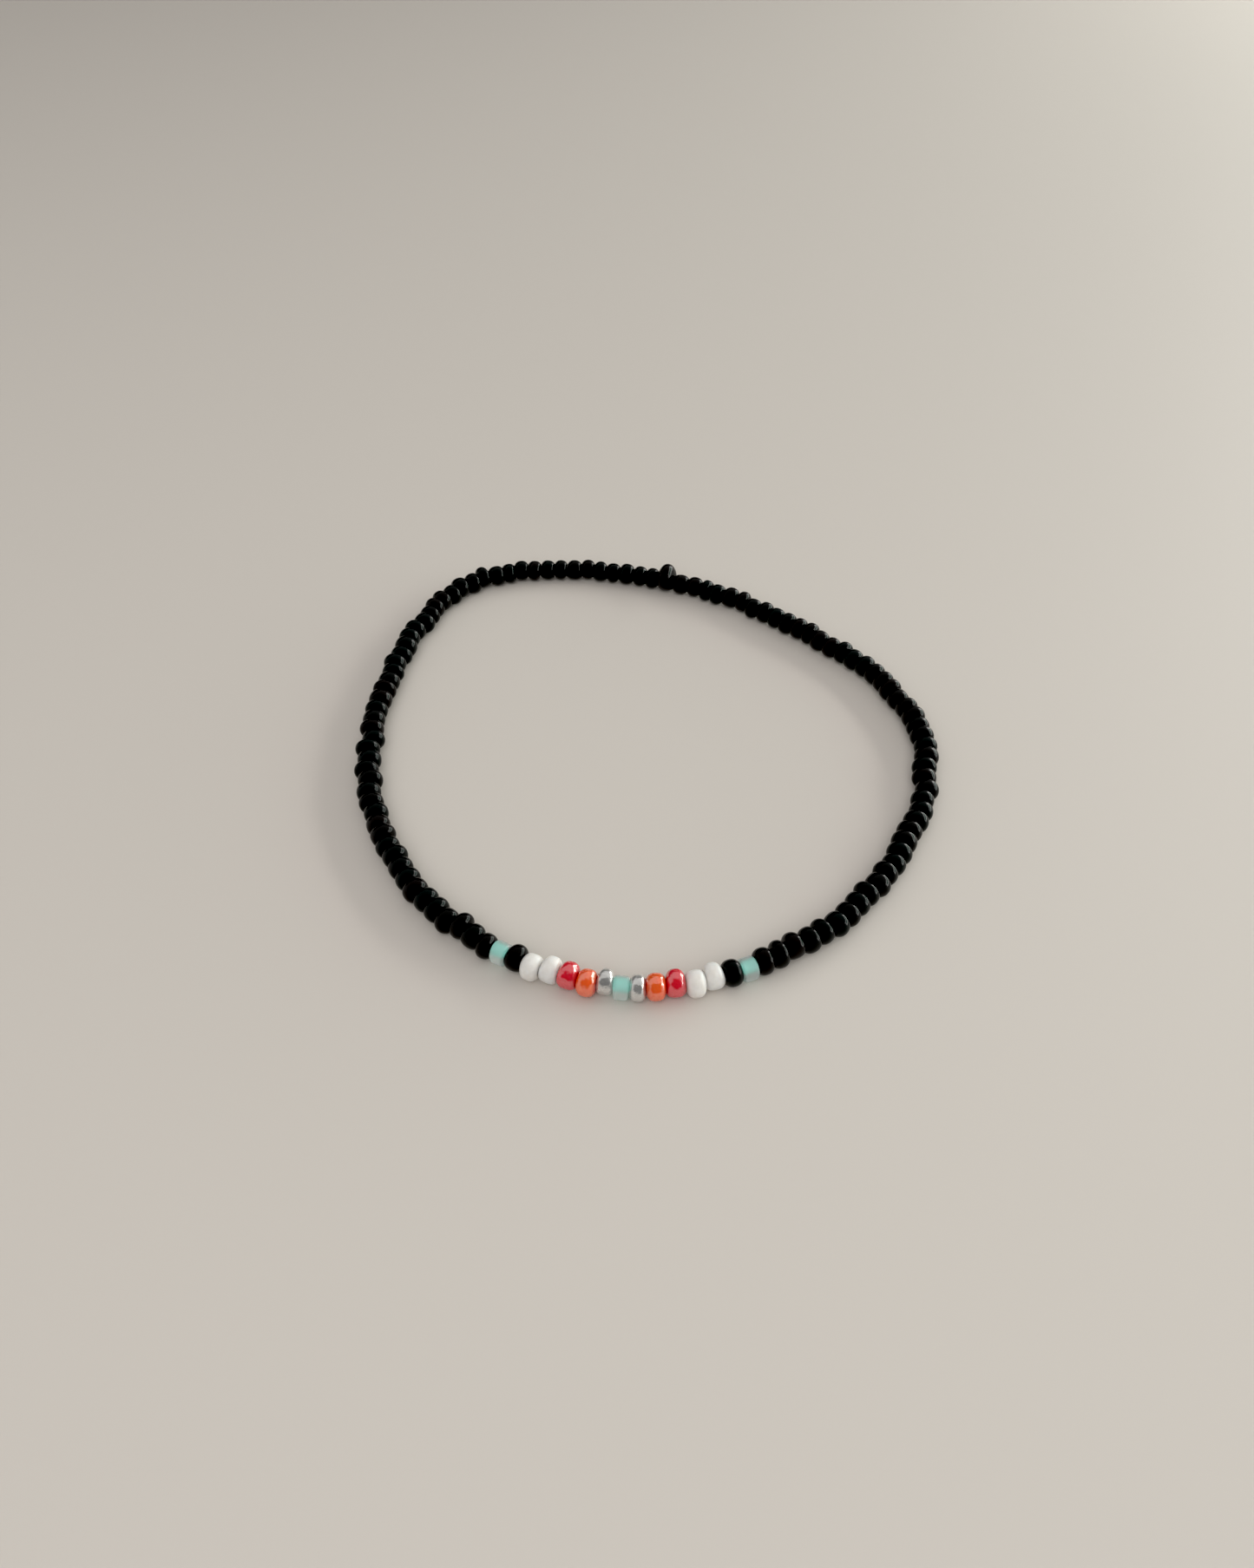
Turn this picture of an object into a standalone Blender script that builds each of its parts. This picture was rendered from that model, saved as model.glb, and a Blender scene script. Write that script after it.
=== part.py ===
"""A beaded stretch bracelet lying flat: glass seed beads on one loop of elastic.

The string is a closed loop. Fifteen accent beads sit at the front, a black string runs
back on each side, and the two strings meet at a larger bead that hides the knot.
"""

import math
import random

import bmesh
import bpy
import numpy as np
from mathutils import Vector

MM = 0.001

# Middle line of the loop from above, in mm, clockwise from the centre bead at the front
ROUTE_MM = (
    (-2.3, -29.1),
    (-15.3, -23.3),
    (-23.6, -12.2),
    (-26.3, 2.1),
    (-24.3, 16.7),
    (-16.9, 27.9),
    (-1.5, 28.2),
    (10.9, 22.6),
    (22.0, 11.7),
    (26.3, -1.2),
    (21.5, -15.2),
    (11.4, -25.4),
)
ROUTE_STEPS = 60

ELASTIC_RADIUS = 0.25 * MM
ELASTIC_HEIGHT = 1.05 * MM
ELASTIC_SIDES = 8
BORE_RADIUS = 0.40 * MM
BEAD_GAP = 0.06 * MM

# Each kind of bead: radius, length along the string, profile and look
BEAD_KINDS = {
    "aqua": {"radius": 0.99 * MM, "length": 1.30 * MM, "profile": "tube", "material": "aqua"},
    "silver": {"radius": 1.08 * MM, "length": 1.28 * MM, "profile": "round", "material": "silver"},
    "orange": {"radius": 1.12 * MM, "length": 1.55 * MM, "profile": "round", "material": "orange"},
    "red": {"radius": 1.14 * MM, "length": 1.60 * MM, "profile": "round", "material": "red"},
    "white": {"radius": 1.13 * MM, "length": 1.53 * MM, "profile": "round", "material": "white"},
    "black": {"radius": 1.13 * MM, "length": 1.54 * MM, "profile": "round", "material": "black"},
    "knot_cover": {"radius": 1.50 * MM, "length": 1.95 * MM, "profile": "round", "material": "black"},
}

# Accent beads from the centre outwards: name, kind, and how far each sits off the string's
# line towards the outside of the loop, in mm
CENTRE_BEAD = ("aqua_bead_centre", "aqua", 0.10)
LEFT_ACCENTS = (
    ("silver_bead_left", "silver", -0.30),
    ("orange_bead_left", "orange", 0.13),
    ("red_bead_left", "red", -0.18),
    ("white_bead_left_inner", "white", -0.22),
    ("white_bead_left_outer", "white", 0.18),
    ("black_bead_left", "black", -0.12),
    ("aqua_bead_left", "aqua", 0.05),
)
RIGHT_ACCENTS = (
    ("silver_bead_right", "silver", 0.12),
    ("orange_bead_right", "orange", 0.10),
    ("red_bead_right", "red", -0.10),
    ("white_bead_right_inner", "white", 0.25),
    ("white_bead_right_outer", "white", -0.14),
    ("black_bead_right", "black", 0.04),
    ("aqua_bead_right", "aqua", 0.05),
)

# Outline of half a bead's wall, along the string and out from its middle line, as shares
# of half its length and of its radius
PROFILES = {
    "round": ((-1.0, 0.66), (-0.72, 0.90), (-0.28, 1.0), (0.28, 1.0), (0.72, 0.90), (1.0, 0.66)),
    "tube": ((-1.0, 0.92), (-0.84, 1.0), (0.84, 1.0), (1.0, 0.92)),
}
ACCENT_SIDES = 12

# The two black strings: bead counts, and rings of one bead as shares of its length and radius
LEFT_STRING_BEADS = 54
RIGHT_STRING_BEADS = 48
STRING_SIDES = 10
STRING_RINGS = ((0.20, 0.95), (0.50, 1.0), (0.80, 0.95))
VALLEY_SHARE = 0.72
BORE_RING_EVERY = 2
STRING_SEED = 14393
STRING_SHIFT = 0.25 * MM
STRING_RADIUS_SPREAD = 0.045

# The knot and its cover bead at the back
KNOT_BORE_RADIUS = 0.62 * MM
KNOT_RADIUS = 0.50 * MM
KNOT_HALF_LENGTH = 0.50 * MM
KNOT_SIDES = 8
KNOT_RINGS = ((-1.0, 0.45), (-0.45, 1.0), (0.45, 1.0), (1.0, 0.45))
KNOT_GAP = 0.08 * MM

SHARP_ANGLE = math.radians(40)

# Colour, roughness and metallic value of each finish
MATERIALS = {
    "aqua": ((0.55, 0.85, 0.76), 0.35, 0.0),
    "silver": ((0.62, 0.62, 0.61), 0.22, 1.0),
    "orange": ((0.85, 0.22, 0.07), 0.18, 0.0),
    "red": ((0.62, 0.04, 0.09), 0.16, 0.0),
    "white": ((0.84, 0.83, 0.80), 0.38, 0.0),
    "black": ((0.006, 0.006, 0.008), 0.12, 0.0),
    "elastic": ((0.80, 0.80, 0.78), 0.40, 0.0),
}


def closed_spline(points, steps):
    """Return points along the smooth closed curve through the given points."""
    points = np.array(points)
    count = len(points)
    following = np.roll(points, -1, axis=0)
    matrix = 4.0 * np.eye(count) + np.roll(np.eye(count), 1, axis=1) + np.roll(np.eye(count), -1, axis=1)
    slopes = np.linalg.solve(matrix, 3.0 * (following - np.roll(points, 1, axis=0)))
    next_slopes = np.roll(slopes, -1, axis=0)
    curve = []
    for index in range(count):
        for step in range(steps):
            t = step / steps
            curve.append(
                (2 * t**3 - 3 * t**2 + 1) * points[index]
                + (t**3 - 2 * t**2 + t) * slopes[index]
                + (3 * t**2 - 2 * t**3) * following[index]
                + (t**3 - t**2) * next_slopes[index]
            )
    return np.array(curve)


class Route:
    """The loop's middle line, measured by the distance along it from the centre bead."""

    def __init__(self):
        curve = closed_spline(ROUTE_MM, ROUTE_STEPS) * MM
        self.points = np.vstack([curve, curve[:1]])
        steps = np.linalg.norm(np.diff(self.points, axis=0), axis=1)
        self.distances = np.concatenate([[0.0], np.cumsum(steps)])
        self.length = float(self.distances[-1])

    def point(self, distance):
        """Return the point on the floor under the string at this distance."""
        wrapped = distance % self.length
        x = np.interp(wrapped, self.distances, self.points[:, 0])
        y = np.interp(wrapped, self.distances, self.points[:, 1])
        return Vector((x, y, 0.0))

    def frame(self, distance):
        """Return the point, the direction along the string and the direction out of the loop."""
        reach = 0.4 * MM
        along = (self.point(distance + reach) - self.point(distance - reach)).normalized()
        outward = Vector((-along.y, along.x, 0.0))
        return self.point(distance), along, outward


def ring(centre, outward, radius, sides):
    """Return one ring of points around the string, with a flat side facing the floor."""
    corner = radius / math.cos(math.pi / sides)
    points = []
    for side in range(sides):
        angle = -math.pi / 2 + (side + 0.5) * 2 * math.pi / sides
        points.append(centre + outward * (corner * math.cos(angle)) + Vector((0, 0, corner * math.sin(angle))))
    return points


def skin(name, rings, material, closed):
    """Make an object from rings of points: a drilled bead when closed, else a capped rod."""
    mesh = bmesh.new()
    loops = [[mesh.verts.new(point) for point in points] for points in rings]
    pairs = list(zip(loops, loops[1:]))
    if closed:
        pairs.append((loops[-1], loops[0]))
    for first, second in pairs:
        sides = len(first)
        for side in range(sides):
            after = (side + 1) % sides
            mesh.faces.new((first[side], first[after], second[after], second[side]))
    if not closed:
        mesh.faces.new(loops[0])
        mesh.faces.new(loops[-1])
    bmesh.ops.recalc_face_normals(mesh, faces=mesh.faces)
    data = bpy.data.meshes.new(name)
    mesh.to_mesh(data)
    mesh.free()
    data.shade_smooth()
    data.set_sharp_from_angle(angle=SHARP_ANGLE)
    data.materials.append(material)
    bead = bpy.data.objects.new(name, data)
    bpy.context.scene.collection.objects.link(bead)
    return bead


def make_material(name, colour, roughness, metallic):
    """Make a Principled material with one colour and finish."""
    material = bpy.data.materials.new(name)
    material.use_nodes = True
    shader = material.node_tree.nodes["Principled BSDF"]
    shader.inputs["Base Color"].default_value = (*colour, 1.0)
    shader.inputs["Roughness"].default_value = roughness
    shader.inputs["Metallic"].default_value = metallic
    return material


def drilled_bead(name, kind, route, distance, shift, bore_radius, materials):
    """Make one bead standing on the floor, threaded on the elastic at this distance."""
    sizes = BEAD_KINDS[kind]
    point, along, outward = route.frame(distance)
    radius = sizes["radius"]
    half = (sizes["length"] - BEAD_GAP) / 2
    middle = point + outward * shift + Vector((0, 0, radius))
    bore = point + Vector((0, 0, ELASTIC_HEIGHT))
    rings = [ring(bore - along * half, outward, bore_radius, ACCENT_SIDES)]
    for length_share, radius_share in PROFILES[sizes["profile"]]:
        centre = middle + along * (half * length_share)
        rings.append(ring(centre, outward, radius * radius_share, ACCENT_SIDES))
    rings.append(ring(bore + along * half, outward, bore_radius, ACCENT_SIDES))
    return skin(name, rings, materials[sizes["material"]], closed=True)


def make_accents(route, materials):
    """Make the accent beads and return how far they reach on the left and on the right."""
    name, kind, shift = CENTRE_BEAD
    drilled_bead(name, kind, route, 0.0, shift * MM, BORE_RADIUS, materials)
    reaches = []
    for side, accents in ((1, LEFT_ACCENTS), (-1, RIGHT_ACCENTS)):
        reach = BEAD_KINDS[kind]["length"] / 2
        for name, accent_kind, shift in accents:
            length = BEAD_KINDS[accent_kind]["length"]
            distance = side * (reach + length / 2)
            drilled_bead(name, accent_kind, route, distance, shift * MM, BORE_RADIUS, materials)
            reach += length
        reaches.append(reach)
    return reaches


def string_beads(count, draws):
    """Return the radius and the sideways shift of each bead of a string."""
    radius = BEAD_KINDS["black"]["radius"]
    beads = []
    for _ in range(count):
        shift = draws.uniform(-1, 1) * STRING_SHIFT
        size = radius * (1 + draws.uniform(-1, 1) * STRING_RADIUS_SPREAD)
        beads.append((size, shift))
    return beads


def valley(route, distance, beads, index):
    """Return the ring in the groove between bead index - 1 and bead index."""
    before = beads[max(index - 1, 0)]
    after = beads[min(index, len(beads) - 1)]
    radius = (before[0] + after[0]) / 2
    shift = (before[1] + after[1]) / 2
    point, _, outward = route.frame(distance)
    centre = point + outward * shift + Vector((0, 0, radius))
    return ring(centre, outward, radius * VALLEY_SHARE, STRING_SIDES)


def bore_ring(route, distance):
    """Return a ring of the hole that the elastic runs through."""
    point, _, outward = route.frame(distance)
    return ring(point + Vector((0, 0, ELASTIC_HEIGHT)), outward, BORE_RADIUS, STRING_SIDES)


def make_string(name, route, start, end, beads, materials):
    """Make a string of beads between two distances as one body with a hole right through."""
    start += BEAD_GAP / 2
    end -= BEAD_GAP / 2
    pitch = (end - start) / len(beads)
    rings = [valley(route, start, beads, 0)]
    for index, (radius, shift) in enumerate(beads):
        for length_share, radius_share in STRING_RINGS:
            point, _, outward = route.frame(start + pitch * (index + length_share))
            centre = point + outward * shift + Vector((0, 0, radius))
            rings.append(ring(centre, outward, radius * radius_share, STRING_SIDES))
        rings.append(valley(route, start + pitch * (index + 1), beads, index + 1))
    for index in range(len(beads), -1, -BORE_RING_EVERY):
        rings.append(bore_ring(route, start + pitch * index))
    return skin(name, rings, materials["black"], closed=True)


def make_knot(route, distance, materials):
    """Make the knot as one small lump inside its cover bead."""
    point, along, outward = route.frame(distance)
    middle = point + Vector((0, 0, ELASTIC_HEIGHT))
    rings = []
    for length_share, radius_share in KNOT_RINGS:
        centre = middle + along * (KNOT_HALF_LENGTH * length_share)
        rings.append(ring(centre, outward, KNOT_RADIUS * radius_share, KNOT_SIDES))
    return skin("elastic_knot", rings, materials["elastic"], closed=False)


def make_elastic(route, knot_distance, spacing, materials):
    """Make the elastic as one rod that leaves the knot and comes round to it again."""
    margin = KNOT_HALF_LENGTH + KNOT_GAP
    start = knot_distance + margin
    end = knot_distance + route.length - margin
    count = round((end - start) / spacing)
    rings = []
    for index in range(count + 1):
        point, _, outward = route.frame(start + (end - start) * index / count)
        centre = point + Vector((0, 0, ELASTIC_HEIGHT))
        rings.append(ring(centre, outward, ELASTIC_RADIUS, ELASTIC_SIDES))
    return skin("elastic_cord", rings, materials["elastic"], closed=False)


def clear_scene():
    """Remove every object from the scene."""
    for item in list(bpy.data.objects):
        bpy.data.objects.remove(item, do_unlink=True)


def main():
    """Build the bracelet."""
    clear_scene()
    materials = {name: make_material(name, *look) for name, look in MATERIALS.items()}
    route = Route()
    left_reach, right_reach = make_accents(route, materials)

    cover_length = BEAD_KINDS["knot_cover"]["length"]
    string_length = route.length - left_reach - right_reach - cover_length
    pitch = string_length / (LEFT_STRING_BEADS + RIGHT_STRING_BEADS)
    cover_start = left_reach + pitch * LEFT_STRING_BEADS
    cover_end = cover_start + cover_length
    knot_distance = (cover_start + cover_end) / 2

    draws = random.Random(STRING_SEED)
    left_beads = string_beads(LEFT_STRING_BEADS, draws)
    right_beads = string_beads(RIGHT_STRING_BEADS, draws)
    make_string("black_string_left", route, left_reach, cover_start, left_beads, materials)
    make_string("black_string_right", route, cover_end, route.length - right_reach, right_beads, materials)
    drilled_bead("knot_cover_bead", "knot_cover", route, knot_distance, 0.0, KNOT_BORE_RADIUS, materials)
    make_knot(route, knot_distance, materials)
    make_elastic(route, knot_distance, pitch * BORE_RING_EVERY, materials)


main()
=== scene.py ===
"""The looks of a beaded stretch bracelet, lying flat on a pale floor."""

import math
import random

import bmesh
import bpy
import numpy as np
from mathutils import Matrix, Vector


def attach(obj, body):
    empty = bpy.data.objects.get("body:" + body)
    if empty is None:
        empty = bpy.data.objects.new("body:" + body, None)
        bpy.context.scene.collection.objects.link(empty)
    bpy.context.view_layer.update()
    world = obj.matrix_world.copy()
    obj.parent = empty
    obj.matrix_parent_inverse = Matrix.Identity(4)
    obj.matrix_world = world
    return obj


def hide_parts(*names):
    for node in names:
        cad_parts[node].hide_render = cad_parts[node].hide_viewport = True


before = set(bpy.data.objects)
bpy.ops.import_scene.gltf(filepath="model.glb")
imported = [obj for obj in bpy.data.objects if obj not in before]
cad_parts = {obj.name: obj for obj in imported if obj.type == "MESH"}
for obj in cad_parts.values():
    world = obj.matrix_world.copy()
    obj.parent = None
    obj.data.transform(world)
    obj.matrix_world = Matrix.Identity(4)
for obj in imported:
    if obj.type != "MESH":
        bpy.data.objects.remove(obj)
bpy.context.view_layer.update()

MM = 0.001
BLACK = (0, 0, 0)
WHITE = (1, 1, 1)

# Middle line of the loop from above, in mm, clockwise from the centre bead at the front
ROUTE_MM = (
    (-2.3, -29.1),
    (-15.3, -23.3),
    (-23.6, -12.2),
    (-26.3, 2.1),
    (-24.3, 16.7),
    (-16.9, 27.9),
    (-1.5, 28.2),
    (10.9, 22.6),
    (22.0, 11.7),
    (26.3, -1.2),
    (21.5, -15.2),
    (11.4, -25.4),
)
ROUTE_STEPS = 60
TANGENT_REACH = 0.4 * MM

ELASTIC_HEIGHT = 1.05 * MM
BEAD_GAP = 0.008 * MM


def bead_kind(radius, length, squareness, mouth, look, bore=0.40, bore_shift=0.0):
    """Return one kind of bead's sizes in metres and its look, from sizes in mm.

    Squareness is 2 for an elliptical outline and more for a boxier one. The mouth is the
    radius at which the rounded ends touch the next beads. The bore is the hole's radius, and
    its shift is how far the hole sits up and inwards of the elastic's line.
    """
    return {
        "radius": radius * MM,
        "length": length * MM,
        "squareness": squareness,
        "mouth": mouth * MM,
        "look": look,
        "bore": bore * MM,
        "bore_shift": bore_shift * MM,
    }


BEAD_KINDS = {
    "aqua": bead_kind(0.99, 1.30, 5.5, 0.46, "aqua", bore_shift=0.04),
    "silver": bead_kind(1.08, 1.28, 2.8, 0.66, "silver"),
    "orange": bead_kind(1.12, 1.55, 2.6, 0.62, "orange"),
    "red": bead_kind(1.14, 1.60, 2.6, 0.62, "red"),
    "white": bead_kind(1.13, 1.53, 2.7, 0.64, "white"),
    "black": bead_kind(1.13, 1.54, 2.35, 0.68, "black"),
    "knot_cover": bead_kind(1.50, 1.95, 2.2, 0.75, "black", bore=0.62),
}

# Accent beads from the centre outwards: CAD node, kind, and how far each sits off the
# string's line towards the outside of the loop, in mm
CENTRE_BEAD = ("aqua_bead_centre", "aqua", 0.10)
COVER_BEAD = ("knot_cover_bead", "knot_cover", 0.0)
LEFT_ACCENTS = (
    ("silver_bead_left", "silver", -0.30),
    ("orange_bead_left", "orange", 0.13),
    ("red_bead_left", "red", -0.18),
    ("white_bead_left_inner", "white", -0.22),
    ("white_bead_left_outer", "white", 0.18),
    ("black_bead_left", "black", -0.12),
    ("aqua_bead_left", "aqua", 0.05),
)
RIGHT_ACCENTS = (
    ("silver_bead_right", "silver", 0.12),
    ("orange_bead_right", "orange", 0.10),
    ("red_bead_right", "red", -0.10),
    ("white_bead_right_inner", "white", 0.25),
    ("white_bead_right_outer", "white", -0.14),
    ("black_bead_right", "black", 0.04),
    ("aqua_bead_right", "aqua", 0.05),
)

LEFT_STRING_BEADS = 54
RIGHT_STRING_BEADS = 48
STRING_SEED = 14393
STRING_SHIFT = 0.25 * MM
STRING_RADIUS_SPREAD = 0.045
STRING_NODES = ("black_string_left", "black_string_right")
BORE_SQUARENESS = 6.0

# How far one bead differs from the next, beyond what the CAD solids show
LOOK_SEED = 7
ACCENT_TILT = math.radians(3)
STRING_TILT = math.radians(8)
SLIP = 0.12 * MM
OVAL_SPREAD = 0.015

# Mesh steps round each bead and over its wall
ACCENT_STEPS = (64, 40)
STRING_STEPS = (32, 20)

# The window stands low behind the right side. Distances and sizes here are in metres
WINDOW_AZIMUTH = math.radians(24)
WINDOW_ELEVATION = math.radians(12)
WINDOW_DISTANCE = 0.50
BRIGHT = (1.0, 0.98, 0.95)
GREEN = (0.45, 1.0, 0.75)

# The window is bright round a dim green middle. Each pane: how far right of and above the
# window's middle it is, its width and height, its brightness and its colour
PANES = (
    (0.05, 0.11, 0.62, 0.06, 8.5, BRIGHT),
    (0.05, -0.075, 0.62, 0.05, 8.5, BRIGHT),
    (-0.22, 0.015, 0.08, 0.13, 8.5, BRIGHT),
    (0.32, 0.015, 0.08, 0.13, 8.5, BRIGHT),
    (0.05, 0.015, 0.46, 0.13, 1.6, GREEN),
)

# The soft light over the camera
FILL_AZIMUTH = math.radians(-100)
FILL_ELEVATION = math.radians(48)
FILL_DISTANCE = 0.60
FILL_SIZE = 0.60
FILL_RADIANCE = 2.2

# The room's dark parts, behind the camera and behind the loop's left side, each as the
# direction of its middle and how far it reaches
DARK_PARTS = (
    ((0.0, -0.75, 0.62), (1.15, 0.9, 0.70)),
    ((-0.35, 0.93, 0.10), (0.9, 0.9, 0.55)),
)
DARK = (0.08, 0.08, 0.08)
DARK_EDGE = (0.08, 0.20)
PALE_WALL = (1.0, 0.985, 0.96)
CLUTTER = 0.7
CLUTTER_SCALE = 6.0
CLUTTER_DETAIL = 3.0
PLAIN_WALL = (0.95, 0.92, 0.88)
ROOM_BRIGHTNESS = 0.62

# The camera looks down at the loop from the front
CAMERA_ELEVATION = math.radians(43.2)
CAMERA_DISTANCE = 116.9 * MM
CAMERA_TARGET = (-1.85 * MM, -4.79 * MM, 0.0)
PHOTO_HEIGHT_PX = 1807
FOCAL_PX = 1447
SENSOR = 36.0
CAMERA_NEAR = 5 * MM
BLACK_LEVEL = 0.010

FLOOR_REACH = 0.8
FLOOR_COLOUR = (0.65, 0.60, 0.55)
FLOOR_ROUGHNESS = 0.6


def closed_spline(points, steps):
    """Return points along the smooth closed curve through the given points."""
    points = np.array(points)
    count = len(points)
    following = np.roll(points, -1, axis=0)
    unit = np.eye(count)
    matrix = 4.0 * unit + np.roll(unit, 1, axis=1) + np.roll(unit, -1, axis=1)
    slopes = np.linalg.solve(matrix, 3.0 * (following - np.roll(points, 1, axis=0)))
    next_slopes = np.roll(slopes, -1, axis=0)
    curve = []
    for index in range(count):
        for step in range(steps):
            t = step / steps
            curve.append(
                (2 * t**3 - 3 * t**2 + 1) * points[index]
                + (t**3 - 2 * t**2 + t) * slopes[index]
                + (3 * t**2 - 2 * t**3) * following[index]
                + (t**3 - t**2) * next_slopes[index]
            )
    return np.array(curve)


class Route:
    """The loop's middle line, measured by the distance along it from the centre bead."""

    def __init__(self):
        curve = closed_spline(ROUTE_MM, ROUTE_STEPS) * MM
        self.points = np.vstack([curve, curve[:1]])
        steps = np.linalg.norm(np.diff(self.points, axis=0), axis=1)
        self.distances = np.concatenate([[0.0], np.cumsum(steps)])
        self.length = float(self.distances[-1])

    def point(self, distance):
        """Return the point on the floor under the string at this distance."""
        wrapped = distance % self.length
        x = np.interp(wrapped, self.distances, self.points[:, 0])
        y = np.interp(wrapped, self.distances, self.points[:, 1])
        return Vector((x, y, 0.0))

    def frame(self, distance):
        """Return the point, the direction along the string and the direction out of the loop."""
        ahead = self.point(distance + TANGENT_REACH)
        behind = self.point(distance - TANGENT_REACH)
        along = (ahead - behind).normalized()
        outward = Vector((-along.y, along.x, 0.0))
        return self.point(distance), along, outward


def rounded(value, squareness):
    """Return a circle's sine or cosine drawn out towards a square outline."""
    return np.sign(value) * np.abs(value) ** (2.0 / squareness)


def outer_share(wall_steps):
    """Return how many of the steps over a bead's wall lie outside its hole."""
    return wall_steps * 3 // 4


def wall_profile(radius, bore_radius, mouth, squareness, wall_steps):
    """Return the bead's cross-section, once round: how far out from hole to outside, and along."""
    outer_steps = outer_share(wall_steps)
    end = math.asin((mouth / radius) ** (squareness / 2))
    turn = np.linspace(end, math.pi - end, outer_steps, endpoint=False)
    outer_along = rounded(np.cos(turn), squareness) / math.cos(end) ** (2 / squareness)
    outer_reach = radius * rounded(np.sin(turn), squareness)
    turn = np.linspace(0, math.pi, wall_steps - outer_steps, endpoint=False)
    inner_along = -rounded(np.cos(turn), BORE_SQUARENESS)
    inner_reach = mouth - (mouth - bore_radius) * rounded(np.sin(turn), BORE_SQUARENESS)
    reach = np.concatenate([outer_reach, inner_reach])
    along = np.concatenate([outer_along, inner_along])
    return (reach - bore_radius) / (radius - bore_radius), along


def touch_plane(route, distance, tilt, draws):
    """Return where two beads touch on the elastic and which way their end faces look."""
    point, along, outward = route.frame(distance)
    yaw = Matrix.Rotation(draws.uniform(-1, 1) * tilt, 3, "Z")
    pitch = Matrix.Rotation(draws.uniform(-1, 1) * tilt, 3, outward)
    return distance, np.array(point + Vector((0, 0, ELASTIC_HEIGHT))), np.array(yaw @ pitch @ along)


def bead_shape(route, start, end, sizes, radius, shift, steps, draws):
    """Return a bead's points and quads, how near each point is to an end, and the hole's quads."""
    round_steps, wall_steps = steps
    point, _, outward = (np.array(value) for value in route.frame((start[0] + end[0]) / 2))
    along = start[2] + end[2]
    along /= np.linalg.norm(along)
    sideways = np.cross((0.0, 0.0, 1.0), along)
    sideways /= np.linalg.norm(sideways)
    upward = np.cross(along, sideways)
    bore_radius = sizes["bore"]
    bore = point + np.array((0.0, 0.0, ELASTIC_HEIGHT)) + sizes["bore_shift"] * (upward - sideways)
    middle = point + np.array((0.0, 0.0, radius)) + outward * shift
    oval = draws.uniform(-1, 1) * OVAL_SPREAD
    oval_turn = draws.uniform(0, math.pi)

    around = np.arange(round_steps) * 2 * math.pi / round_steps
    spokes = np.outer(np.cos(around), sideways) + np.outer(np.sin(around), upward)
    outer_radii = radius * (1 - abs(oval) + oval * np.cos(2 * (around - oval_turn)))
    outer = middle + spokes * outer_radii[:, None]
    inner = bore + spokes * bore_radius
    share_out, share_along = wall_profile(
        radius, bore_radius, sizes["mouth"], sizes["squareness"], wall_steps
    )
    mouth_share = (sizes["mouth"] - bore_radius) / (radius - bore_radius)
    mouth = inner * (1 - mouth_share) + outer * mouth_share
    reaches = []
    for _, touch, normal in (end, start):
        reaches.append((touch - mouth) @ normal / (along @ normal))
    ahead = reaches[0] - BEAD_GAP / 2
    behind = -reaches[1] - BEAD_GAP / 2
    reach = np.where(share_along[None, :] > 0, ahead[:, None], behind[:, None])
    points = (
        inner[:, None, :] * (1 - share_out)[None, :, None]
        + outer[:, None, :] * share_out[None, :, None]
        + (reach * share_along[None, :])[:, :, None] * along[None, None, :]
    )
    index = np.arange(round_steps * wall_steps).reshape(round_steps, wall_steps)
    beside = np.roll(index, -1, 0)
    corners = [index, np.roll(index, -1, 1), np.roll(beside, -1, 1), beside]
    quads = np.stack(corners, axis=-1).reshape(-1, 4)
    ends = np.tile(np.abs(share_along), round_steps)
    hole = np.tile(np.arange(wall_steps) >= outer_share(wall_steps), round_steps)
    return points.reshape(-1, 3), quads, ends, hole


def make_piece(name, shapes, materials, node, tones):
    """Join bead shapes into one object that rides on the bracelet and stands for a CAD node."""
    points, quads, ends, holes = [], [], [], []
    first = 0
    for shape_points, shape_quads, shape_ends, shape_hole in shapes:
        points.append(shape_points)
        quads.append(shape_quads + first)
        ends.append(shape_ends)
        holes.append(shape_hole)
        first += len(shape_points)
    mesh = bpy.data.meshes.new(name)
    mesh.from_pydata(np.vstack(points).tolist(), [], np.vstack(quads).tolist())
    tone = [np.full(len(shape_ends), value) for shape_ends, value in zip(ends, tones)]
    for key, values in (("ends", ends), ("tone", tone)):
        layer = mesh.attributes.new(key, "FLOAT", "POINT")
        layer.data.foreach_set("value", np.concatenate(values).astype(np.float32))
    for material in materials:
        mesh.materials.append(material)
    if len(materials) > 1:
        mesh.polygons.foreach_set("material_index", np.concatenate(holes).astype(np.int32))
    piece = bpy.data.objects.new(name, mesh)
    bpy.context.scene.collection.objects.link(piece)
    face_outward(mesh)
    mesh.shade_smooth()
    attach(piece, "root")
    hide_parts(node)
    return piece


def face_outward(mesh):
    """Turn a closed mesh's faces to point out of it."""
    work = bmesh.new()
    work.from_mesh(mesh)
    bmesh.ops.recalc_face_normals(work, faces=work.faces)
    work.to_mesh(mesh)
    work.free()


def new_material(name):
    """Return a new node material with its shader and its nodes and links."""
    material = bpy.data.materials.new(name)
    material.use_nodes = True
    tree = material.node_tree
    return material, tree.nodes["Principled BSDF"], tree


def attribute(tree, name):
    """Return the value output of one of the mesh's own attributes."""
    node = tree.nodes.new("ShaderNodeAttribute")
    node.attribute_name = name
    return node.outputs["Fac"]


def noise(tree, size, detail=3.0):
    """Return a noise pattern whose blobs are about this many metres across."""
    place = tree.nodes.new("ShaderNodeTexCoord")
    node = tree.nodes.new("ShaderNodeTexNoise")
    node.inputs["Scale"].default_value = 1.0 / size
    node.inputs["Detail"].default_value = detail
    tree.links.new(place.outputs["Object"], node.inputs["Vector"])
    return node.outputs["Fac"]


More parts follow.
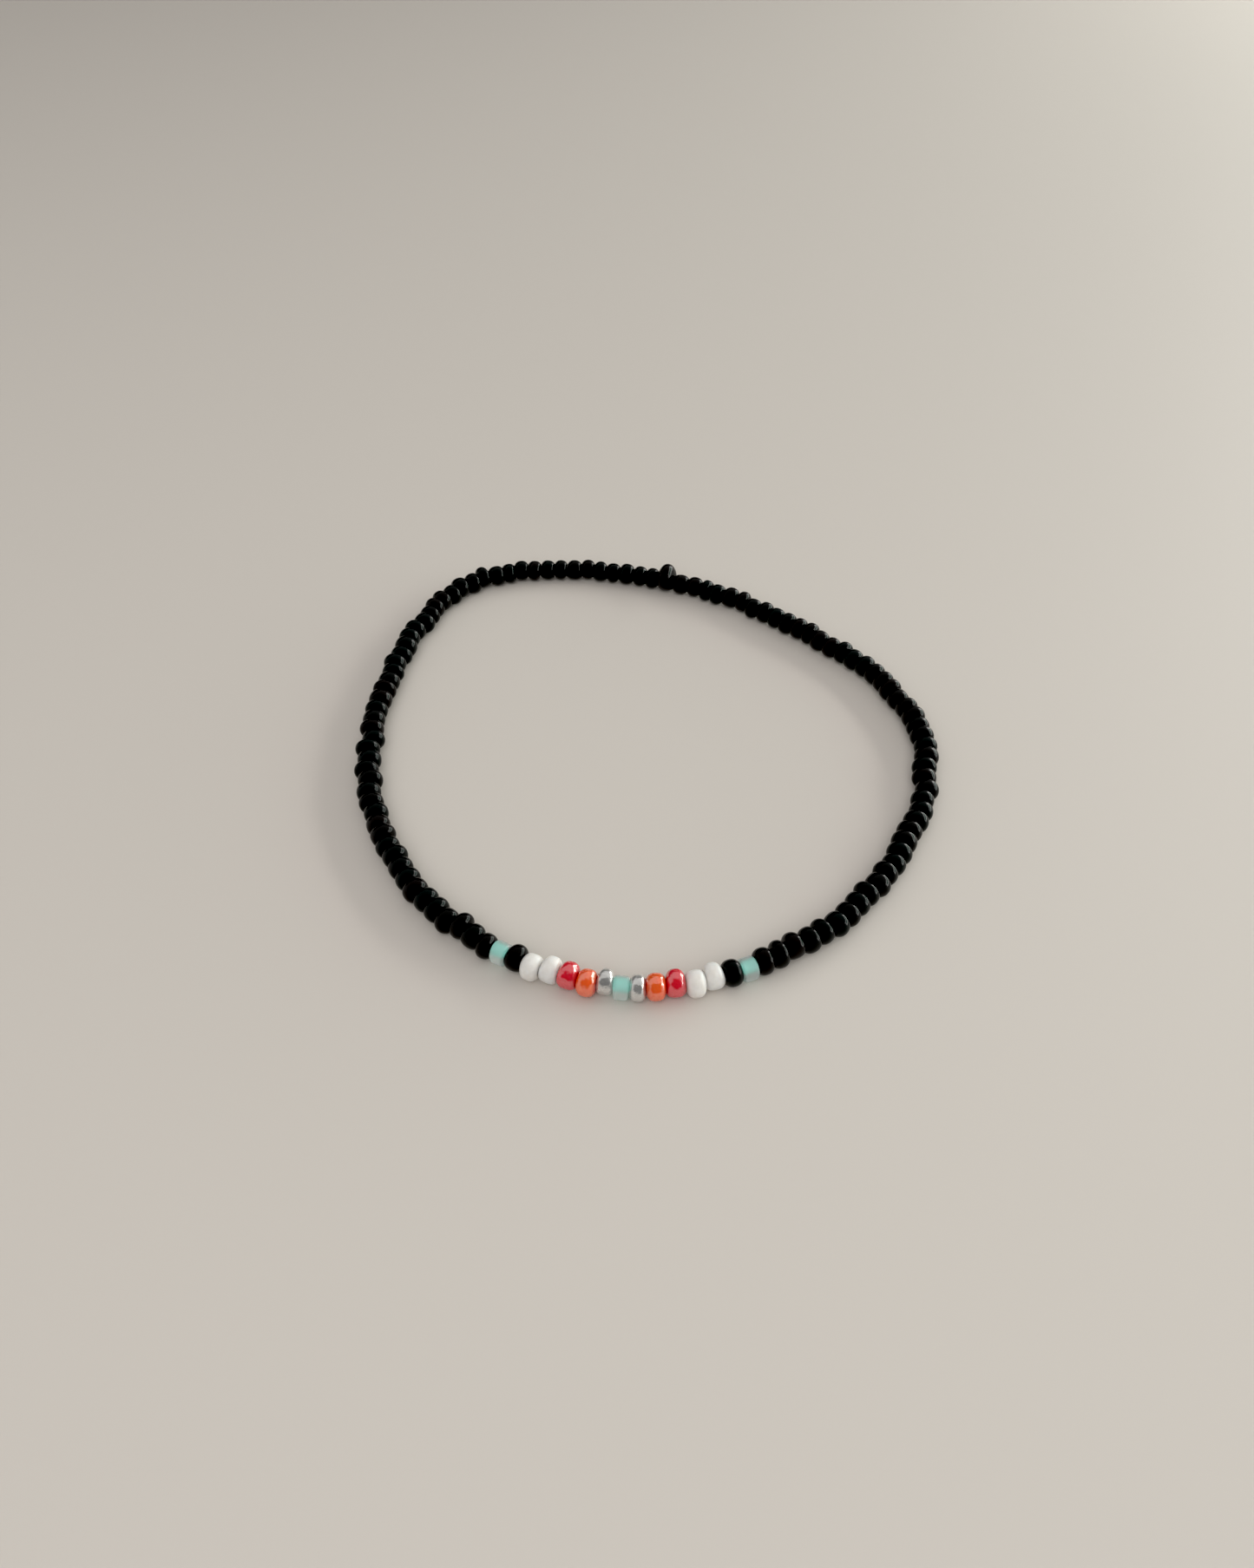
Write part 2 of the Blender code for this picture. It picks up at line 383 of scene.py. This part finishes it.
def blend(tree, factor, low, high, first, second):
    """Return a colour that goes from first to second as factor goes from low to high."""
    ramp = tree.nodes.new("ShaderNodeValToRGB")
    ramp.color_ramp.elements[0].position = low
    ramp.color_ramp.elements[0].color = (*first, 1.0)
    ramp.color_ramp.elements[1].position = high
    ramp.color_ramp.elements[1].color = (*second, 1.0)
    tree.links.new(factor, ramp.inputs["Fac"])
    return ramp.outputs["Color"]


def mix(tree, factor, first, second):
    """Return the mix of two colours, each a plain colour or a node's output."""
    node = tree.nodes.new("ShaderNodeMix")
    node.data_type = "RGBA"
    tree.links.new(factor, node.inputs[0])
    for socket, value in ((node.inputs[6], first), (node.inputs[7], second)):
        if isinstance(value, tuple):
            socket.default_value = (*value, 1.0)
        else:
            tree.links.new(value, socket)
    return node.outputs[2]


def spread(tree, factor, low, high):
    """Return a factor from 0 to 1 mapped to the range from low to high."""
    node = tree.nodes.new("ShaderNodeMapRange")
    node.inputs["To Min"].default_value = low
    node.inputs["To Max"].default_value = high
    tree.links.new(factor, node.inputs["Value"])
    return node.outputs["Result"]


def clouds(tree, size, first, second, low=0.3, high=0.7):
    """Return a colour that drifts from first to second in clouds this many metres across."""
    return blend(tree, noise(tree, size), low, high, first, second)


def vary_roughness(tree, shader, size, low, high):
    """Let a surface's roughness drift from low to high in patches this many metres across."""
    tree.links.new(spread(tree, noise(tree, size), low, high), shader.inputs["Roughness"])


def ripple(tree, shader, size, detail, depth):
    """Give a surface the shallow waves of pressed glass."""
    bump = tree.nodes.new("ShaderNodeBump")
    bump.inputs["Distance"].default_value = depth
    bump.inputs["Strength"].default_value = 1.0
    tree.links.new(noise(tree, size, detail), bump.inputs["Height"])
    tree.links.new(bump.outputs["Normal"], shader.inputs["Normal"])


def black_glass():
    """Return glossy jet glass, a little greener or browner from bead to bead."""
    material, shader, tree = new_material("black_glass")
    greener = (0.0015, 0.0035, 0.0035)
    browner = (0.004, 0.003, 0.003)
    colour = blend(tree, attribute(tree, "tone"), 0.0, 1.0, greener, browner)
    tree.links.new(colour, shader.inputs["Base Color"])
    vary_roughness(tree, shader, 0.9 * MM, 0.08, 0.20)
    shader.inputs["IOR"].default_value = 1.24
    ripple(tree, shader, 0.7 * MM, 1.0, 0.02 * MM)
    return material


def white_glass():
    """Return milky white glass with a soft sheen and faint clouding."""
    material, shader, tree = new_material("white_glass")
    colour = clouds(tree, 0.6 * MM, (0.74, 0.71, 0.67), (0.82, 0.795, 0.76), low=0.35, high=0.65)
    tree.links.new(colour, shader.inputs["Base Color"])
    vary_roughness(tree, shader, 0.3 * MM, 0.34, 0.46)
    shader.inputs["Subsurface Weight"].default_value = 0.8
    shader.inputs["Subsurface Radius"].default_value = (1.0, 0.9, 0.8)
    shader.inputs["Subsurface Scale"].default_value = 1.3 * MM
    ripple(tree, shader, 0.5 * MM, 2.0, 0.01 * MM)
    return material


def lustre_glass(name, colour, deep):
    """Return coloured glass under a thin shiny coating, deeper in colour at its ends: partly the
    bare glass there, partly painted shade where the beads meet.
    """
    material, shader, tree = new_material(name)
    cloudy = mix(tree, spread(tree, noise(tree, 0.5 * MM), 0.0, 0.35), colour, deep)
    # Painted shade: towards each end, where the next bead shades it, the colour sinks to the deep
    # tone.
    ends = blend(tree, attribute(tree, "ends"), 0.80, 0.97, BLACK, WHITE)
    tree.links.new(mix(tree, ends, cloudy, deep), shader.inputs["Base Color"])
    vary_roughness(tree, shader, 0.4 * MM, 0.06, 0.12)
    shader.inputs["IOR"].default_value = 2.5
    shader.inputs["Coat Weight"].default_value = 0.3
    shader.inputs["Coat Roughness"].default_value = 0.03
    shader.inputs["Subsurface Weight"].default_value = 0.6
    shader.inputs["Subsurface Radius"].default_value = (1.0, 0.3, 0.2)
    shader.inputs["Subsurface Scale"].default_value = 0.6 * MM
    ripple(tree, shader, 0.48 * MM, 1.5, 0.11 * MM)
    return material


def silver_glass():
    """Return glass with a pearl-grey metal coating."""
    material, shader, tree = new_material("silver_glass")
    colour = clouds(tree, 0.5 * MM, (0.66, 0.65, 0.63), (0.79, 0.785, 0.77))
    tree.links.new(colour, shader.inputs["Base Color"])
    vary_roughness(tree, shader, 0.3 * MM, 0.22, 0.36)
    shader.inputs["Metallic"].default_value = 0.8
    shader.inputs["Coat Weight"].default_value = 0.8
    shader.inputs["Coat Roughness"].default_value = 0.05
    ripple(tree, shader, 0.42 * MM, 1.2, 0.09 * MM)
    return material


def clear_glass():
    """Return the slightly frosted clear glass of the aqua beads."""
    material, shader, tree = new_material("aqua_glass")
    colour = clouds(tree, 0.5 * MM, (0.96, 0.98, 0.97), (1.0, 1.0, 1.0))
    tree.links.new(colour, shader.inputs["Base Color"])
    vary_roughness(tree, shader, 0.8 * MM, 0.38, 0.46)
    shader.inputs["Transmission Weight"].default_value = 0.85
    shader.inputs["IOR"].default_value = 1.45
    return material


def mint_lining_painted_glow():
    """Return the mint colour baked on the wall of the aqua beads' holes, with a faint painted glow.
    """
    material, shader, tree = new_material("mint_lining_painted_glow")
    colour = clouds(tree, 0.4 * MM, (0.17, 0.62, 0.53), (0.25, 0.70, 0.60))
    tree.links.new(colour, shader.inputs["Base Color"])
    vary_roughness(tree, shader, 0.2 * MM, 0.4, 0.6)
    # Painted light: the lining glows faintly, standing in for the light that reaches it through the
    # frosted glass.
    tree.links.new(colour, shader.inputs["Emission Color"])
    shader.inputs["Emission Strength"].default_value = 0.16
    return material


def clear_elastic():
    """Return the cloudy clear elastic."""
    material, shader, tree = new_material("clear_elastic")
    colour = clouds(tree, 0.4 * MM, (0.62, 0.60, 0.56), (0.74, 0.72, 0.68))
    tree.links.new(colour, shader.inputs["Base Color"])
    vary_roughness(tree, shader, 0.2 * MM, 0.2, 0.35)
    shader.inputs["Transmission Weight"].default_value = 0.8
    return material


def string_beads(name, count, draws):
    """Return a black string's beads, with each bead's size and shift as in the CAD."""
    radius = BEAD_KINDS["black"]["radius"]
    beads = []
    for _ in range(count):
        shift = draws.uniform(-1, 1) * STRING_SHIFT
        size = radius * (1 + draws.uniform(-1, 1) * STRING_RADIUS_SPREAD)
        beads.append((name, "black", size, shift))
    return beads


def accent_beads(accents):
    """Return the accent beads with their sizes in metres."""
    return [(node, kind, BEAD_KINDS[kind]["radius"], shift * MM) for node, kind, shift in accents]


def make_bracelet(looks):
    """Make every bead of the bracelet over the CAD's nodes, clockwise from the centre bead."""
    route = Route()
    draws = random.Random(STRING_SEED)
    left = accent_beads(LEFT_ACCENTS)
    left_string = string_beads("black_string_left", LEFT_STRING_BEADS, draws)
    right_string = string_beads("black_string_right", RIGHT_STRING_BEADS, draws)
    right = accent_beads(RIGHT_ACCENTS)[::-1]
    centre, cover = accent_beads((CENTRE_BEAD, COVER_BEAD))
    beads = [centre, *left, *left_string, cover, *right_string, *right]

    on_string = [name in STRING_NODES for name, _, _, _ in beads]
    accent_length = 0.0
    for (_, kind, _, _), loose in zip(beads, on_string):
        if not loose:
            accent_length += BEAD_KINDS[kind]["length"]
    pitch = (route.length - accent_length) / sum(on_string)
    draws = random.Random(LOOK_SEED)
    distance = -BEAD_KINDS["aqua"]["length"] / 2
    planes = []
    for (_, kind, _, _), loose in zip(beads, on_string):
        slip = draws.uniform(-1, 1) * SLIP if loose else 0.0
        tilt = STRING_TILT if loose else ACCENT_TILT
        planes.append(touch_plane(route, distance + slip, tilt, draws))
        distance += pitch if loose else BEAD_KINDS[kind]["length"]
    planes.append((route.length + planes[0][0], planes[0][1], planes[0][2]))

    shapes = {}
    for (node, kind, radius, shift), start, end in zip(beads, planes, planes[1:]):
        steps = STRING_STEPS if node in STRING_NODES else ACCENT_STEPS
        shape = bead_shape(route, start, end, BEAD_KINDS[kind], radius, shift, steps, draws)
        shapes.setdefault((node, BEAD_KINDS[kind]["look"]), []).append(shape)
    for (node, look), parts in shapes.items():
        tones = [draws.random() for _ in parts]
        materials = [looks[look], looks["lining"]] if look == "aqua" else [looks[look]]
        make_piece(node + "_glass", parts, materials, node, tones)


def dress_cad(looks):
    """Give the CAD nodes that stay their own material."""
    for node in ("elastic_cord", "elastic_knot"):
        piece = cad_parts[node]
        piece.data.materials.clear()
        piece.data.materials.append(looks["elastic"])


def make_floor():
    """Make the plain pale floor."""
    corners = []
    for across, away in ((-1, -1), (1, -1), (1, 1), (-1, 1)):
        corners.append((across * FLOOR_REACH, away * FLOOR_REACH, 0))
    mesh = bpy.data.meshes.new("floor")
    mesh.from_pydata(corners, [], [(0, 1, 2, 3)])
    floor = bpy.data.objects.new("floor", mesh)
    bpy.context.scene.collection.objects.link(floor)
    material, shader, _ = new_material("pale_floor")
    shader.inputs["Base Color"].default_value = (*FLOOR_COLOUR, 1.0)
    shader.inputs["Roughness"].default_value = FLOOR_ROUGHNESS
    mesh.materials.append(material)


def make_window():
    """Hang a wide window low behind the bracelet's right side."""
    middle = direction(WINDOW_AZIMUTH, WINDOW_ELEVATION) * WINDOW_DISTANCE
    rightward = middle.cross(Vector((0, 0, 1))).normalized()
    upward = rightward.cross(middle).normalized()
    for right, up, width, height, radiance, colour in PANES:
        light = bpy.data.lights.new("pane", "AREA")
        light.shape = "RECTANGLE"
        light.size = width
        light.size_y = height
        light.energy = radiance * width * height * math.pi
        light.color = colour
        pane = bpy.data.objects.new("pane", light)
        pane.location = middle + rightward * right + upward * up
        pane.rotation_mode = "QUATERNION"
        pane.rotation_quaternion = (-middle).to_track_quat("-Z", "Y")
        bpy.context.scene.collection.objects.link(pane)


def make_fill():
    """Hang a wide soft light over the camera that lifts the shadows but isn't mirrored."""
    light = bpy.data.lights.new("fill", "AREA")
    light.shape = "DISK"
    light.size = FILL_SIZE
    area = math.pi * (FILL_SIZE / 2) ** 2
    light.energy = FILL_RADIANCE * area * math.pi
    fill = bpy.data.objects.new("fill", light)
    toward = direction(FILL_AZIMUTH, FILL_ELEVATION)
    fill.location = toward * FILL_DISTANCE
    fill.rotation_mode = "QUATERNION"
    fill.rotation_quaternion = (-toward).to_track_quat("-Z", "Y")
    fill.visible_glossy = False
    bpy.context.scene.collection.objects.link(fill)


def direction(azimuth, elevation):
    """Return the unit vector at these angles, azimuth from +X towards +Y."""
    across = math.cos(elevation)
    return Vector((across * math.cos(azimuth), across * math.sin(azimuth), math.sin(elevation)))


def make_room():
    """Light the bracelet with a pale room that has dark parts, behind a plain backdrop."""
    world = bpy.data.worlds.new("room")
    bpy.context.scene.world = world
    world.use_nodes = True
    tree = world.node_tree
    place = tree.nodes.new("ShaderNodeTexCoord")
    clutter = tree.nodes.new("ShaderNodeTexNoise")
    clutter.inputs["Scale"].default_value = CLUTTER_SCALE
    clutter.inputs["Detail"].default_value = CLUTTER_DETAIL
    bend = tree.nodes.new("ShaderNodeVectorMath")
    bend.operation = "MULTIPLY_ADD"
    bend.inputs[1].default_value = (CLUTTER, CLUTTER, CLUTTER)
    bend.inputs[2].default_value = (-CLUTTER / 2, -CLUTTER / 2, -CLUTTER / 2)
    shape = tree.nodes.new("ShaderNodeVectorMath")
    tree.links.new(place.outputs["Generated"], clutter.inputs["Vector"])
    tree.links.new(clutter.outputs["Color"], bend.inputs[0])
    tree.links.new(place.outputs["Generated"], shape.inputs[0])
    tree.links.new(bend.outputs["Vector"], shape.inputs[1])
    walls = PALE_WALL
    for middle, reach in DARK_PARTS:
        mapping = tree.nodes.new("ShaderNodeMapping")
        mapping.vector_type = "TEXTURE"
        mapping.inputs["Location"].default_value = middle
        mapping.inputs["Scale"].default_value = reach
        gradient = tree.nodes.new("ShaderNodeTexGradient")
        gradient.gradient_type = "SPHERICAL"
        tree.links.new(shape.outputs["Vector"], mapping.inputs["Vector"])
        tree.links.new(mapping.outputs["Vector"], gradient.inputs["Vector"])
        darkness = blend(tree, gradient.outputs["Fac"], *DARK_EDGE, BLACK, WHITE)
        walls = mix(tree, darkness, walls, DARK)
    seen = tree.nodes.new("ShaderNodeLightPath").outputs["Is Camera Ray"]
    background = tree.nodes["Background"]
    tree.links.new(mix(tree, seen, walls, PLAIN_WALL), background.inputs["Color"])
    background.inputs["Strength"].default_value = ROOM_BRIGHTNESS


def make_camera():
    """Put the camera in front of the bracelet, above it."""
    camera = bpy.data.cameras.new("camera")
    camera.sensor_width = SENSOR
    camera.lens = SENSOR * FOCAL_PX / PHOTO_HEIGHT_PX
    camera.clip_start = CAMERA_NEAR
    eye = bpy.data.objects.new("camera", camera)
    back = Vector((0.0, -math.cos(CAMERA_ELEVATION), math.sin(CAMERA_ELEVATION)))
    eye.location = Vector(CAMERA_TARGET) + back * CAMERA_DISTANCE
    eye.rotation_mode = "QUATERNION"
    eye.rotation_quaternion = (-back).to_track_quat("-Z", "Y")
    bpy.context.scene.collection.objects.link(eye)
    bpy.context.scene.camera = eye


def set_tone():
    """Show colours as they are, but sink the darkest tones to black."""
    view = bpy.context.scene.view_settings
    view.view_transform = "Standard"
    view.use_curve_mapping = True
    view.curve_mapping.black_level = (BLACK_LEVEL, BLACK_LEVEL, BLACK_LEVEL)
    view.curve_mapping.update()


def main():
    """Dress the bracelet and set up the picture."""
    looks = {
        "aqua": clear_glass(),
        "lining": mint_lining_painted_glow(),
        "silver": silver_glass(),
        "orange": lustre_glass("orange_glass", (0.88, 0.15, 0.025), (0.72, 0.02, 0.003)),
        "red": lustre_glass("red_glass", (0.72, 0.010, 0.035), (0.56, 0.0, 0.005)),
        "white": white_glass(),
        "black": black_glass(),
        "elastic": clear_elastic(),
    }
    make_bracelet(looks)
    dress_cad(looks)
    make_floor()
    make_window()
    make_fill()
    make_room()
    make_camera()
    set_tone()


main()
